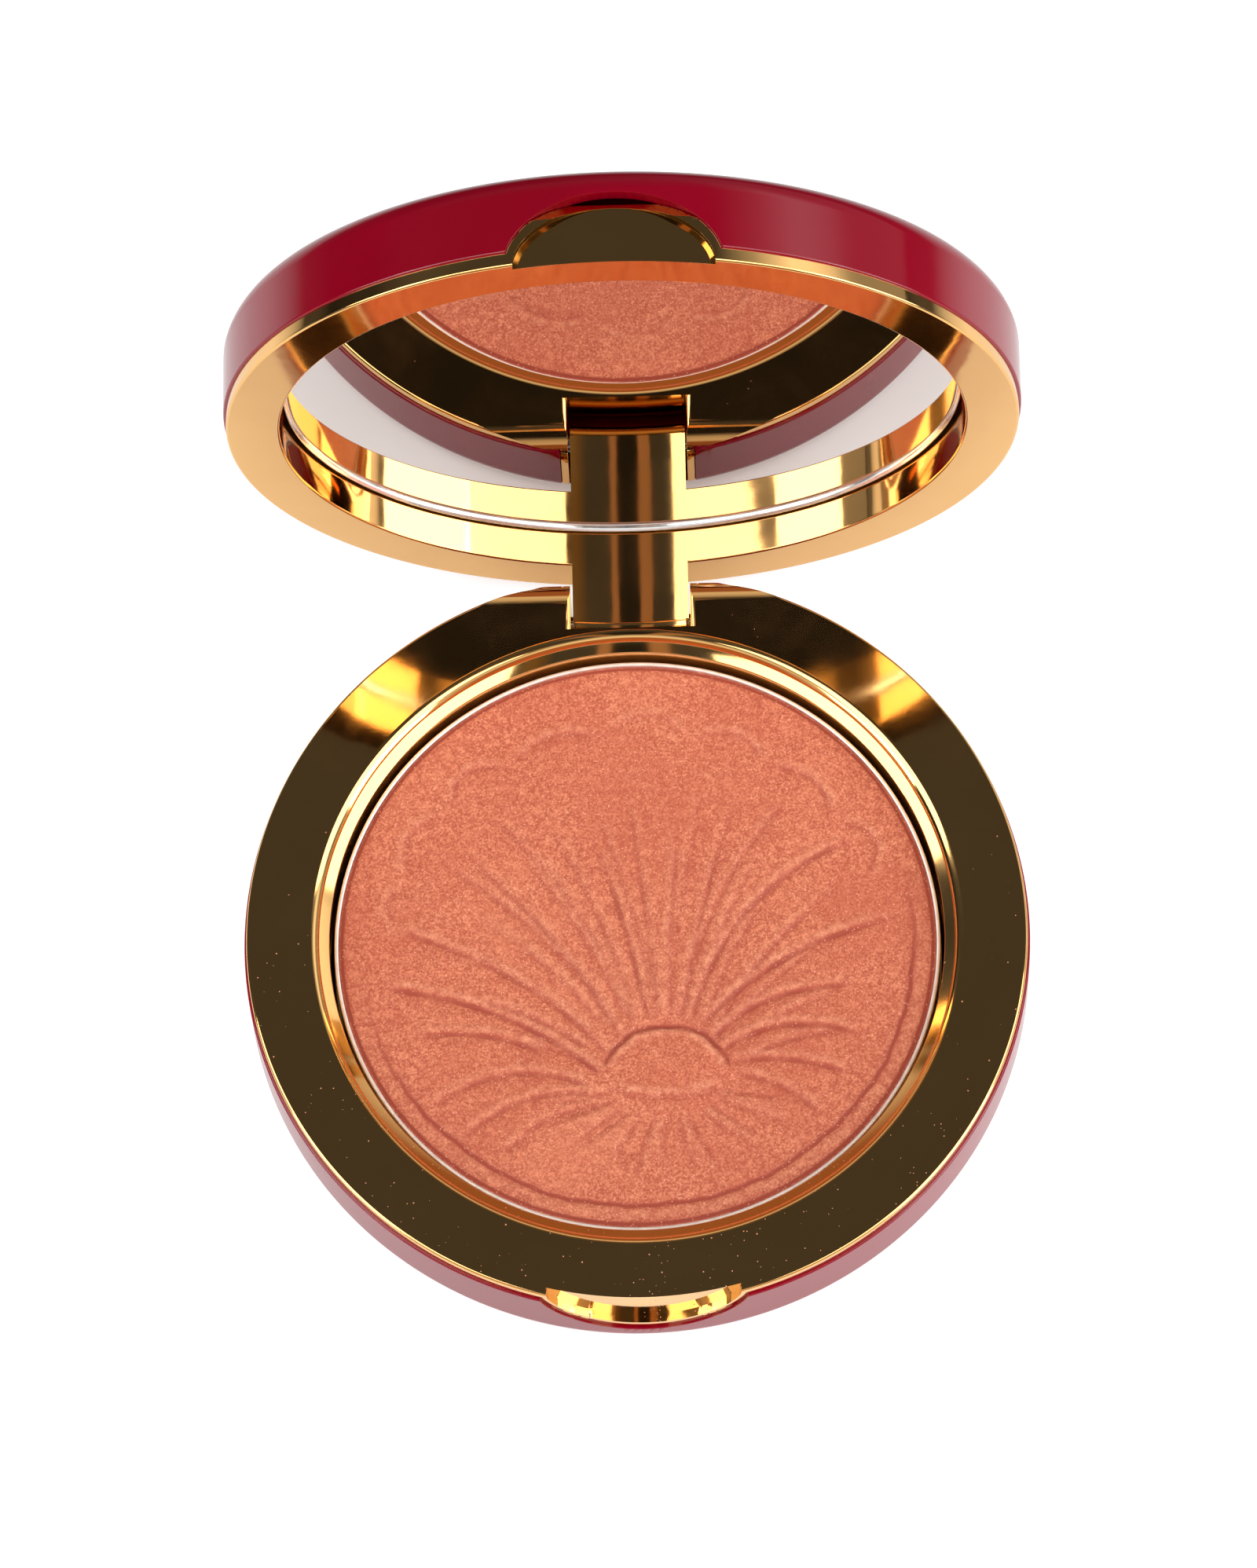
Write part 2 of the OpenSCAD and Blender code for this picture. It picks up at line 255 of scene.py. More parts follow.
class Nodes:
    def __init__(self, name):
        self.m = bpy.data.materials.new(name)
        self.m.use_nodes = True
        self.t = self.m.node_tree
        self.t.nodes.clear()
        self.out = self.t.nodes.new("ShaderNodeOutputMaterial")
        self.b = self.t.nodes.new("ShaderNodeBsdfPrincipled")
        self.link(self.b.outputs[0], self.out.inputs["Surface"])
        self._obj = None

    def link(self, a, b):
        self.t.links.new(a, b)

    def new(self, kind, **kw):
        n = self.t.nodes.new(kind)
        for k, v in kw.items():
            setattr(n, k, v)
        return n

    def obj(self):
        if self._obj is None:
            self._obj = self.new("ShaderNodeTexCoord").outputs["Object"]
        return self._obj

    def noise(self, scale, detail=3.0, rough=0.55, vec=None, dist=0.0):
        n = self.new("ShaderNodeTexNoise")
        n.inputs["Scale"].default_value = scale
        n.inputs["Detail"].default_value = detail
        n.inputs["Roughness"].default_value = rough
        n.inputs["Distortion"].default_value = dist
        self.link(vec or self.obj(), n.inputs["Vector"])
        return n

    def ramp(self, src, stops, interp="LINEAR"):
        n = self.new("ShaderNodeValToRGB")
        n.color_ramp.interpolation = interp
        e = n.color_ramp.elements
        while len(e) < len(stops):
            e.new(0.5)
        for el, (p, c) in zip(e, stops):
            el.position = p
            el.color = (c, c, c, 1) if isinstance(c, (int, float)) else (*c, 1)
        self.link(src, n.inputs[0])
        return n.outputs[0]

    def map(self, src, a, b, c, d):
        n = self.new("ShaderNodeMapRange")
        for i, v in zip((1, 2, 3, 4), (a, b, c, d)):
            n.inputs[i].default_value = v
        self.link(src, n.inputs[0])
        return n.outputs[0]

    def math(self, op, a, b=None, clamp=False):
        n = self.new("ShaderNodeMath", operation=op, use_clamp=clamp)
        for i, v in enumerate((a, b)):
            if v is None:
                continue
            if isinstance(v, (int, float)):
                n.inputs[i].default_value = v
            else:
                self.link(v, n.inputs[i])
        return n.outputs[0]

    def mix(self, fac, a, b, blend="MIX"):
        n = self.new("ShaderNodeMix", data_type="RGBA", blend_type=blend)
        for s, v in ((n.inputs[0], fac), (n.inputs[6], a), (n.inputs[7], b)):
            if isinstance(v, (int, float)):
                s.default_value = v
            elif isinstance(v, tuple):
                s.default_value = (*v, 1)
            else:
                self.link(v, s)
        return n.outputs[2]

    def bump(self, height, strength, dist, normal=None):
        n = self.new("ShaderNodeBump")
        n.inputs["Strength"].default_value = strength
        n.inputs["Distance"].default_value = dist
        self.link(height, n.inputs["Height"])
        if normal is not None:
            self.link(normal, n.inputs["Normal"])
        return n.outputs[0]

    def set(self, **kw):
        for k, v in kw.items():
            s = self.b.inputs[k.replace("_", " ")]
            if isinstance(v, (int, float)):
                s.default_value = v
            elif isinstance(v, tuple):
                s.default_value = (*v, 1) if len(v) == 3 and s.type == "RGBA" else v
            else:
                self.link(v, s)
        return self


def gold(name, dust=0.0):
    n = Nodes(name)
    wave = n.noise(160, 2.0, 0.5)
    fine = n.noise(2600, 3.0, 0.6)
    smudge = n.noise(110, 5.0, 0.6, dist=0.6)
    rough = n.map(smudge.outputs[0], 0.35, 0.75, 0.045, 0.10)
    tone = n.ramp(smudge.outputs[0], [(0.3, (0.80, 0.462, 0.162)), (0.75, (0.83, 0.49, 0.180))])
    nrm = n.bump(wave.outputs[0], 0.5, 0.00003)
    nrm = n.bump(fine.outputs[0], 0.12, 0.000004, nrm)
    if dust:
        # stray grains of powder: denser towards the front of the well
        vor = n.new("ShaderNodeTexVoronoi", feature="F1", distance="EUCLIDEAN")
        vor.inputs["Scale"].default_value = 3300
        n.link(n.obj(), vor.inputs["Vector"])
        xyz = n.new("ShaderNodeSeparateXYZ")
        n.link(n.obj(), xyz.inputs[0])
        cell = n.new("ShaderNodeSeparateColor")
        n.link(vor.outputs["Color"], cell.inputs[0])
        front = n.map(xyz.outputs[1], 0.012, -0.030, 0.04, 1.0)
        patch = n.map(n.noise(170, 4.0, 0.7).outputs[0], 0.42, 0.62, 0.10, 1.0)
        some = n.math("GREATER_THAN", cell.outputs[0], n.map(n.math("MULTIPLY", front, patch), 0.0, 1.0, 0.996, 0.66))
        size = n.math("MULTIPLY", n.math("POWER", cell.outputs[1], 1.4), 0.27)
        spot = n.math("LESS_THAN", vor.outputs["Distance"], size)
        mask = n.math("MULTIPLY", some, spot)
        mask = n.math("MULTIPLY", mask, dust)
        tone = n.mix(mask, tone, (0.60, 0.24, 0.12))
        n.set(Metallic=n.map(mask, 0.0, 1.0, 1.0, 0.1))
        rough = n.math("ADD", rough, n.math("MULTIPLY", mask, 0.6), clamp=True)
    else:
        n.set(Metallic=1.0)
    n.set(Base_Color=tone, Roughness=rough, Normal=nrm)
    return n.m


def lacquer(name):
    n = Nodes(name)
    cloud = n.noise(60, 4.0, 0.55)
    peel = n.noise(900, 2.0, 0.5)
    grain = n.noise(5200, 2.0, 0.5)
    tone = n.ramp(cloud.outputs[0], [(0.35, (0.198, 0.0004, 0.0085)), (0.7, (0.222, 0.0006, 0.0115))])
    rough = n.map(n.noise(140, 5.0, 0.6).outputs[0], 0.3, 0.75, 0.09, 0.14)
    nrm = n.bump(peel.outputs[0], 0.25, 0.00001)
    nrm = n.bump(grain.outputs[0], 0.12, 0.000002, nrm)
    n.set(Base_Color=tone, Roughness=rough, Normal=nrm, IOR=1.44)
    return n.m


def pan_metal():
    n = Nodes("pan_metal")
    rings = n.noise(900, 3.0, 0.6)
    tone = n.ramp(rings.outputs[0], [(0.3, (0.90, 0.76, 0.68)), (0.7, (0.98, 0.86, 0.79))])
    n.set(Base_Color=tone, Metallic=0.75, Roughness=n.map(rings.outputs[0], 0.3, 0.7, 0.40, 0.52),
          Normal=n.bump(n.noise(4000, 2.0).outputs[0], 0.2, 0.000008))
    return n.m


def powder():
    n = Nodes("pressed_powder")
    att = n.new("ShaderNodeAttribute", attribute_name="relief", attribute_type="GEOMETRY")
    sep = n.new("ShaderNodeSeparateColor")
    n.link(att.outputs["Color"], sep.inputs[0])
    close, ridge, force = sep.outputs[0], sep.outputs[1], sep.outputs[2]
    # painted shade in the creases: a thin dark line down the middle of a softer, shallower band of darkening
    thin = n.map(close, 0.62, 0.97, 0.0, 1.0)
    crease = n.math("MULTIPLY", force, n.math("ADD", n.math("MULTIPLY", thin, 0.82), n.math("MULTIPLY", close, 0.30)), clamp=True)
    grain = n.noise(4600, 2.0, 0.6)
    clump = n.noise(1250, 3.5, 0.62)
    cloud = n.noise(85, 4.0, 0.55)
    col = n.ramp(grain.outputs[0], [(0.36, (0.345, 0.066, 0.032)), (0.5, (0.495, 0.127, 0.063)), (0.66, (0.71, 0.255, 0.138))])
    col = n.mix(n.map(clump.outputs[0], 0.40, 0.62, 0.0, 0.40), col, (0.365, 0.072, 0.034))
    col = n.mix(n.map(clump.outputs[0], 0.50, 0.36, 0.0, 0.40), col, (0.66, 0.215, 0.112))
    col = n.mix(n.map(cloud.outputs[0], 0.46, 0.66, 0.0, 0.40), col, (0.42, 0.086, 0.043))
    col = n.mix(n.map(cloud.outputs[0], 0.48, 0.34, 0.0, 0.30), col, (0.58, 0.175, 0.088))
    # painted shade: the crease colour darkens the powder in its creases and grooves, in the scuffs' hollows and in the
    # dip at the cake's edge
    col = n.mix(n.math("MULTIPLY", crease, 1.0), col, (0.300, 0.043, 0.022))
    # painted highlight: a paler colour on the raised side of each step, on the border's lip and on the scuffs' high
    # points
    lit = n.math("MULTIPLY", ridge, n.map(clump.outputs[0], 0.62, 0.36, 0.25, 1.0))
    col = n.mix(n.math("MULTIPLY", lit, 0.70), col, (0.72, 0.31, 0.175))
    # mica: sparse flecks, paler than the powder, with a painted glint in their colour
    vor = n.new("ShaderNodeTexVoronoi", feature="F1")
    vor.inputs["Scale"].default_value = 5600
    n.link(n.obj(), vor.inputs["Vector"])
    cell = n.new("ShaderNodeSeparateColor")
    n.link(vor.outputs["Color"], cell.inputs[0])
    fleck = n.math("MULTIPLY", n.math("GREATER_THAN", cell.outputs[0], 0.94), n.math("LESS_THAN", vor.outputs["Distance"], 0.42))
    col = n.mix(n.math("MULTIPLY", fleck, 0.42), col, (0.92, 0.48, 0.29))
    nrm = n.bump(clump.outputs[0], 0.5, 0.00006)
    nrm = n.bump(grain.outputs[0], 0.9, 0.00006, nrm)
    nrm = n.bump(n.math("MULTIPLY", crease, -1.0), 0.35, 0.0001, nrm)
    n.set(Base_Color=col, Roughness=n.map(grain.outputs[0], 0.3, 0.7, 0.72, 0.5), Normal=nrm,
          Sheen_Weight=0.12, Sheen_Roughness=0.5, Specular_IOR_Level=0.35)
    n.b.inputs["Sheen Tint"].default_value = (1.0, 0.72, 0.58, 1)
    return n.m


def silver():
    n = Nodes("mirror_silver")
    haze = n.noise(45, 3.0, 0.5)
    tone = n.ramp(haze.outputs[0], [(0.3, (0.74, 0.69, 0.66)), (0.7, (0.77, 0.72, 0.69))])
    n.set(Base_Color=tone, Metallic=1.0, Roughness=n.map(haze.outputs[0], 0.3, 0.7, 0.006, 0.014))
    return n.m


def ground_glass():
    n = Nodes("mirror_ground_edge")
    g = n.noise(2500, 3.0, 0.6)
    n.set(Base_Color=n.ramp(g.outputs[0], [(0.3, (0.84, 0.85, 0.85)), (0.7, (0.93, 0.94, 0.94))]), Metallic=0.9,
          Roughness=n.map(g.outputs[0], 0.3, 0.7, 0.10, 0.17), Normal=n.bump(g.outputs[0], 0.15, 0.00001))
    return n.m


def plain(name, a, b, rough, metal, scale=1500, bump=0.00001, **kw):
    n = Nodes(name)
    g = n.noise(scale, 4.0, 0.6)
    n.set(Base_Color=n.ramp(g.outputs[0], [(0.3, a), (0.7, b)]), Metallic=metal,
          Roughness=n.map(g.outputs[0], 0.3, 0.7, *rough), Normal=n.bump(g.outputs[0], 0.3, bump), **kw)
    return n.m


GOLD = gold("gold_metallised")
GOLD_DECK = gold("gold_metallised_deck", dust=1.0)
RED = lacquer("red_lacquer")
PAN = pan_metal()
POWDER = powder()
SILVER = silver()
GROUND = ground_glass()
STEEL = plain("hinge_steel", (0.50, 0.50, 0.52), (0.66, 0.66, 0.68), (0.2, 0.34), 1.0, 3000)
NICKEL = plain("nickel_plate", (0.62, 0.61, 0.58), (0.72, 0.70, 0.67), (0.12, 0.22), 1.0, 1800)
GLUE = plain("adhesive_pad", (0.72, 0.70, 0.62), (0.84, 0.82, 0.75), (0.35, 0.5), 0.0, 800, Coat_Weight=0.3)
PAPER = plain("blank_label", (0.78, 0.70, 0.58), (0.86, 0.79, 0.68), (0.42, 0.6), 0.0, 2600, 0.000012)

# ------------------------------------------------------------------ base
base = lathe("base_shell_skin", soft([
    (0, 0.12), (15.2, 0.12, 0.03), (15.2, 0.0, 0.03), (CASE_R, 0.0, BASE_ROUND),
    (CASE_R, BASE_H - TRIM_H, 0.22), (CASE_R - WALL, BASE_H - TRIM_H, 0.05),
    (CASE_R - WALL, SEAT_Z, 1.0), (0, SEAT_Z)], n=9))
boolean(base, prism_xz("c", oval(THUMB_A, THUMB_B, BASE_H, -1, 2), -CASE_R - 3, -CASE_R + WALL + 1.5), "DIFFERENCE")
boolean(base, block("c", (-CHEEK - 0.1, HINGE_Y - 0.85, 0.7), (CHEEK + 0.1, HINGE_Y + 8, BASE_H + 2)), "DIFFERENCE")


def roll():
    """What the lid's rim sweeps through behind the hinge axis, as a cutter."""
    y0, r = HINGE_Y + 0.07, 3.1
    arc = [(y0 + r * math.cos(a), BASE_H - r + r * math.sin(a)) for a in [math.pi / 2 * i / 24 for i in range(25)]]
    return prism_yz("c", arc + [(y0, BASE_H + 2), (y0 + 7, BASE_H + 2), (y0 + 7, BASE_H - r)], -18, 18)


boolean(base, roll(), "DIFFERENCE")
bevel(tidy(base), 0.06, 3, skip=lambda m: m.z < 0.3)
place(base, "base", RED, "red_lacquer", "base_shell")

lip = [(31.81 - 1.2 * math.sin(math.radians(t)), BASE_H - 1.2 * (1 - math.cos(math.radians(t)))) for t in range(0, 55, 6)]
deck = lathe("base_frame_skin", soft([
    (0, SEAT_Z), (31.0, SEAT_Z), (31.0, BASE_H - 3.6), (32.9, BASE_H - 1.6), (SKIRT_R - 1.6, BASE_H - 1.6),
    (SKIRT_R - 1.2, BASE_H - 2.1), (SKIRT_R - 1.2, SEAT_Z), (SKIRT_R - 0.6, SEAT_Z, 0.2), (TRIM_R, SEAT_Z + 1.4),
    (TRIM_R, BASE_H, 0.28), (32.0, BASE_H)] + lip + [(30.79, BASE_H - 0.90, 0.08), (FOOT_R + 0.04, BASE_H - 1.38, 0.14),
    (FOOT_R, FLOOR_Z, 0.2), (0, FLOOR_Z)], n=7, hold=0.08))
ring = lathe("r", [(SKIRT_R, -1), (CASE_R + 2, -1), (CASE_R + 2, BASE_H - TRIM_H), (SKIRT_R, BASE_H - TRIM_H)], closed=True)
boolean(ring, prism_xz("c", oval(THUMB_A - 0.06, THUMB_B - 0.06, BASE_H, -1, 2), -CASE_R - 4, -SKIRT_R + 3), "DIFFERENCE")
boolean(deck, ring, "DIFFERENCE")


def hinge_block():
    return block("c", (-10.6, 31.0, SEAT_Z + 0.03), (10.6, 35.0, BASE_H - 1.2))


boolean(deck, hinge_block(), "UNION")
# cheeks that line the shell's slot, flush with its outside
arc = [math.radians(-40 + 5 * i) for i in range(9)]
cheek = lathe("k", [(33.0, 0.8)] + [(CASE_R - BASE_ROUND + (BASE_ROUND - 0.02) * math.cos(a), BASE_ROUND + (BASE_ROUND - 0.02) * math.sin(a)) for a in arc]
              + [(CASE_R - 0.02, BASE_H - TRIM_H - 0.04), (33.0, BASE_H - TRIM_H - 0.04)], closed=True)
boolean(cheek, block("c", (-CHEEK, HINGE_Y - 0.8, 0), (CHEEK, HINGE_Y + 8, BASE_H)), "INTERSECT")
boolean(deck, cheek, "UNION")
dish = prism_xz("d", oval(DISH_A, DISH_B, BASE_H, -1, 2), -CASE_R - 4, -DISH_R + 5)
boolean(dish, lathe("c", [(0, -5), (DISH_R, -5), (DISH_R, 20), (0, 20)]), "DIFFERENCE")
boolean(deck, dish, "DIFFERENCE")
flare = 0.5
side = [(NOTCH + flare - flare * math.cos(a), BASE_H - flare + flare * math.sin(a)) for a in [math.pi / 2 * i / 8 for i in range(9)]]
side = [(NOTCH, 0.5)] + side + [(NOTCH + flare, BASE_H + 2)]
notch = prism_xz("c", side + [(-x, z) for x, z in reversed(side)], HINGE_Y - 2.43, HINGE_Y + 8)
boolean(deck, notch, "DIFFERENCE")
boolean(deck, roll(), "DIFFERENCE")
bevel(tidy(deck), 0.08, 3, skip=lambda m: m.y < -30 and m.z < 5.5)
place(deck, "base", GOLD_DECK, "gold_metallised", "base_frame")

pan = lathe("powder_pan_skin", soft([
    (0, PAN_Z), (PAN_R, PAN_Z, 0.8), (PAN_R, PAN_RIM, 0.17), (PAN_R - PAN_T, PAN_RIM, 0.17),
    (PAN_R - PAN_T, PAN_Z + PAN_T, 0.4), (0, PAN_Z + PAN_T)], n=6, hold=0.05))
place(pan, "base", PAN, "pan_metal", "powder_pan")


# ------------------------------------------------------------------ powder
def bez(a, b, c, n=36):
    t = np.linspace(0, 1, n)[:, None]
    a, b, c = (np.array(v, float) for v in (a, b, c))
    return (1 - t) ** 2 * a + 2 * t * (1 - t) * b + t**2 * c


# a plain fan of ribs from a low boss: (start, bend, end, groove depth, step)
FAN = [
    ((5.6, -9.3), (13.0, -0.5), (26.0, 2.2), 1.0, 1.0),
    ((7.0, -10.4), (11.5, -4.6), (21.6, -4.9), 0.9, 0.9),
    ((8.0, -11.4), (13.5, -7.0), (21.8, -10.0), 0.9, 0.9),
    ((8.8, -12.5), (15.0, -11.5), (20.8, -14.2), 0.8, 0.8),
    ((9.2, -13.8), (14.2, -14.4), (17.6, -18.4), 0.6, 0.7),
    ((-3.4, -13.8), (-13.0, -5.2), (-26.0, -4.0), 1.0, -1.0),
    ((-9.2, -11.2), (-14.5, -8.2), (-21.8, -9.2), 0.9, -0.9),
    ((-4.6, -15.0), (-12.5, -10.6), (-20.6, -16.8), 0.8, -0.9),
    ((-4.4, -15.6), (-11.5, -14.2), (-17.4, -20.0), 0.7, -0.8),
    ((-3.6, -16.6), (-9.2, -16.8), (-13.4, -21.6), 0.6, -0.6),
    ((-2.6, -12.2), (-9.5, -2.6), (-25.6, 2.6), 0.7, -0.8),
    ((-1.4, -10.8), (-6.5, 0.5), (-19.5, 9.0), 0.5, -0.6),
    ((-0.4, -9.6), (-4.0, 4.0), (-14.5, 13.8), 0.4, -0.5),
    ((1.6, -8.4), (0.4, 3.0), (-4.8, 15.8), 0.28, -0.4),
    ((3.0, -8.6), (3.6, 3.0), (7.0, 16.4), 0.3, 0.4),
    ((4.0, -8.9), (6.2, 5.0), (15.4, 15.0), 0.5, 0.55),
    ((4.8, -9.1), (9.0, 6.4), (22.6, 10.6), 0.8, 0.85),
]
# finer lines between the main ribs
FINE = []
for i, (a, r0, r1, bend) in enumerate([(12, 7.5, 20, -1.6), (24, 7.2, 21, -1.9), (38, 7.0, 24, -2.4), (47, 7.0, 27, -2.6), (58, 6.6, 30, -2.6), (66, 6.4, 27, -2.0), (75, 6.2, 32, -1.6),
                                       (86, 6.0, 30, -0.6), (97, 6.0, 33, 0.7), (106, 6.2, 28, 1.3), (114, 6.4, 33, 2.0), (122, 6.6, 30, 2.4), (131, 7.0, 33, 2.8), (139, 7.0, 27, 2.6),
                                       (148, 7.4, 27, 2.4), (158, 7.6, 23, 2.0), (168, 7.6, 20, 1.6)]):
    c, q = math.cos(math.radians(a)), math.sin(math.radians(a))
    p0, p1 = (2.6 + r0 * c, -13.6 + r0 * 0.82 * q), (2.6 + r1 * c, -13.6 + r1 * q)
    pm = ((p0[0] + p1[0]) / 2 + bend * q, (p0[1] + p1[1]) / 2 - bend * c)
    FINE.append((p0, pm, p1, 0.42 + 0.2 * (i % 3 == 0), (0.5 + 0.25 * (i % 2)) * (1 if bend < 0 else -1)))
HUB = (2.6, -13.6, 6.0, 4.9)


def powder_height(x, y):
    """Relief in mm over the plain crown, and how far each point is in a crease or on a ridge, for the powder's painted
    shade and painted highlight.
    """
    h = np.zeros_like(x)
    crease = np.zeros_like(x)
    force = np.zeros_like(x)
    ridge = np.zeros_like(x)

    def line(pts, depth, step, width=0.30, fade=(0.08, 0.16)):
        nonlocal h, crease, force, ridge
        lo, hi = pts.min(0) - 3.2, pts.max(0) + 3.2
        k = np.where((x > lo[0]) & (x < hi[0]) & (y > lo[1]) & (y < hi[1]))[0]
        px, py = x[k], y[k]
        best = np.full(px.shape, 1e9)
        side = np.zeros_like(px)
        along = np.zeros_like(px)
        n = len(pts) - 1
        for i in range(n):
            a, d = pts[i], pts[i + 1] - pts[i]
            L = d @ d
            t = np.clip(((px - a[0]) * d[0] + (py - a[1]) * d[1]) / L, 0, 1)
            ex, ey = px - a[0] - t * d[0], py - a[1] - t * d[1]
            q = ex * ex + ey * ey
            m = q < best
            best[m] = q[m]
            side[m] = np.sign(d[0] * ey - d[1] * ex)[m]
            along[m] = (i + t[m]) / n
        dist = np.sqrt(best)
        w = np.clip(along / fade[0], 0, 1) * np.clip((1 - along) / fade[1], 0, 1)
        w = w * w * (3 - 2 * w)
        # a hand-pressed line is never quite even
        w = w * (0.82 + 0.18 * np.sin(along * 23 + pts[0][0] * 1.7))
        s = side * dist
        g = np.exp(-((dist / width) ** 2))
        h[k] += w * (-0.25 * depth * g + 0.15 * step * np.tanh(s / 0.34) * np.exp(-dist / 1.9))
        # closeness to the line and its strength, which the powder's material turns into painted shade in the crease
        near = np.exp(-((dist / 0.5) ** 2))
        up = w * abs(depth) * near > crease[k] * force[k]
        force[k] = np.where(up, w * abs(depth), force[k])
        crease[k] = np.where(up, near, crease[k])
        # a raised band on the step's high side, which the material paints lighter as a painted highlight
        off = np.exp(-(((s * np.sign(step) - 0.62) / 0.34) ** 2))
        h[k] += w * 0.07 * abs(step) * off
        ridge[k] = np.maximum(ridge[k], w * abs(step) * 0.75 * off)

    for a, b, c, depth, step in FAN:
        line(bez(a, b, c), depth, step, 0.34)
    for a, b, c, depth, step in FINE:
        line(bez(a, b, c, 26), depth, step, 0.22, (0.12, 0.45))
    # boss the ribs spring from
    cx, cy, ra, rb = HUB
    t = np.linspace(math.radians(6), math.radians(174), 48)
    wob = 1 + 0.018 * np.sin(t * 7) + 0.008 * np.sin(t * 15 + 1)
    line(np.c_[cx + ra * wob * np.cos(t), cy + rb * wob * np.sin(t)], 1.15, 1.3, 0.3, (0.06, 0.06))
    e = ((x - cx) / ra) ** 2 + ((y - cy) / rb) ** 2
    h += 0.34 * np.clip(1 - e, 0, 1) ** 1.2
    # broken lower edge of the boss
    t = np.linspace(math.radians(200), math.radians(338), 60)
    wob = 1 + 0.10 * np.sin(t * 13) + 0.06 * np.sin(t * 31)
    line(np.c_[cx + (ra - 0.5) * np.cos(t), cy - 0.6 + 1.9 * wob * np.sin(t)], 0.5, 0.9, 0.24, (0.1, 0.1))
    # short rays under the boss
    for i in range(13):
        a = math.radians(-166 + 12.7 * i)
        c, s = math.cos(a), math.sin(a)
        p0 = (cx + 4.9 * c, cy - 0.9 + 3.2 * s)
        p1 = (cx + (13.5 + 1.5 * (i % 2)) * c, cy - 0.6 + (9.0 + 1.2 * (i % 3)) * s)
        pm = ((p0[0] + p1[0]) / 2 + 0.9 * s, (p0[1] + p1[1]) / 2 - 0.5)
        line(bez(p0, pm, p1, 22), 0.42, 0.5 * (1 if i % 2 else -1), 0.26, (0.15, 0.5))
    # scalloped rim of the fan
    ends = [14, 33, 56, 76, 97, 122, 141, 163, 178]
    for i in range(len(ends) - 1):
        a0, a1 = math.radians(ends[i]), math.radians(ends[i + 1])
        am = (a0 + a1) / 2
        d = 27.2 + 0.9 * math.cos(i * 2.3)
        line(bez((22.7 * math.cos(a0), 1 + 20.4 * math.sin(a0)), (d * math.cos(am), 1 + (d - 2.6) * math.sin(am)),
                 (22.7 * math.cos(a1), 1 + 20.4 * math.sin(a1))), 0.44 + 0.14 * math.sin(i * 1.7), -0.75, 0.28, (0.2, 0.25))
    # flattened, scuffed patches in the upper half, where the puff rubs
    for px, py, pr, amp in ((1.0, 22.5, 3.6, 0.9), (-9.0, 12.0, 4.2, 0.6), (7.5, 17.8, 3.0, 0.8), (-17.5, 14.5, 3.4, 0.8), (-20.5, 4.0, 3.2, 0.7), (-1.5, 16.0, 3.8, 0.6), (12.5, 7.0, 3.0, 0.3)):
        m = np.exp(-(((x - px) ** 2 + (y - py) ** 2) / pr**2))
        n = np.sin(x * 2.9 + 1.7 * np.sin(y * 2.1 + px)) * np.sin(y * 3.1 + 1.9 * np.sin(x * 1.7 + py))
        n = n + 0.6 * np.sin(x * 5.3 + 2.2 * np.sin(y * 3.7)) * np.sin(y * 4.9 + 1.4 * np.sin(x * 4.1 + px))
        h += 0.055 * amp * m * n
        # painted highlight on the scuffs' high points and painted shade in their hollows
        ridge = np.maximum(ridge, np.clip(n - 0.55, 0, 1) * m * amp)
        hollow_shade = 0.5 * np.clip(-n - 0.75, 0, 1) * m * amp
        force = np.where(hollow_shade > crease * force, hollow_shade, force)
        crease = np.maximum(crease, np.clip(hollow_shade * 3, 0, 0.9))
    # pressed border, fading out towards the back
    rad = np.hypot(x, y)
    ang = np.degrees(np.arctan2(y, x))
    th = np.radians(ang)
    wave = 26.85 + 0.08 * np.sin(th * 9) + 0.06 * np.sin(th * 23 + 1) + 0.05 * np.sin(th * 61) + 0.22 * np.clip(np.sin(th * 14 + 2 * np.sin(th * 5)) - 0.72, 0, 1)
    low = np.clip((18 - ang) / 26, 0, 1) * np.clip((ang + 176) / 36, 0, 1)
    low = np.where(ang > 90, 0.0, low)
    g = np.exp(-(((rad - wave) / 0.27) ** 2)) * low
    h -= 0.16 * g
    # painted shade in the border's groove
    near = np.exp(-(((rad - wave) / 0.42) ** 2))
    up = near * low > crease * force
    force = np.where(up, low, force)
    crease = np.where(up, near, crease)
    # a raised lip outside the groove, with a painted highlight
    lip = np.exp(-(((rad - wave - 0.85) / 0.5) ** 2)) * low
    h += 0.06 * lip
    ridge = np.maximum(ridge, lip * 0.35)
    # low swells, so that no stretch is dead flat
    h += 0.045 * np.sin(x * 0.43 + 0.6 * np.sin(y * 0.31)) * np.cos(y * 0.37 + 1.1)
    h += 0.012 * np.sin(x * 1.9 + 2.1 * np.sin(y * 0.8)) * np.sin(y * 2.2 + 1.3 * np.sin(x * 0.9))
    return h, np.clip(crease, 0, 1), np.clip(force, 0, 1), np.clip(ridge, 0, 1)


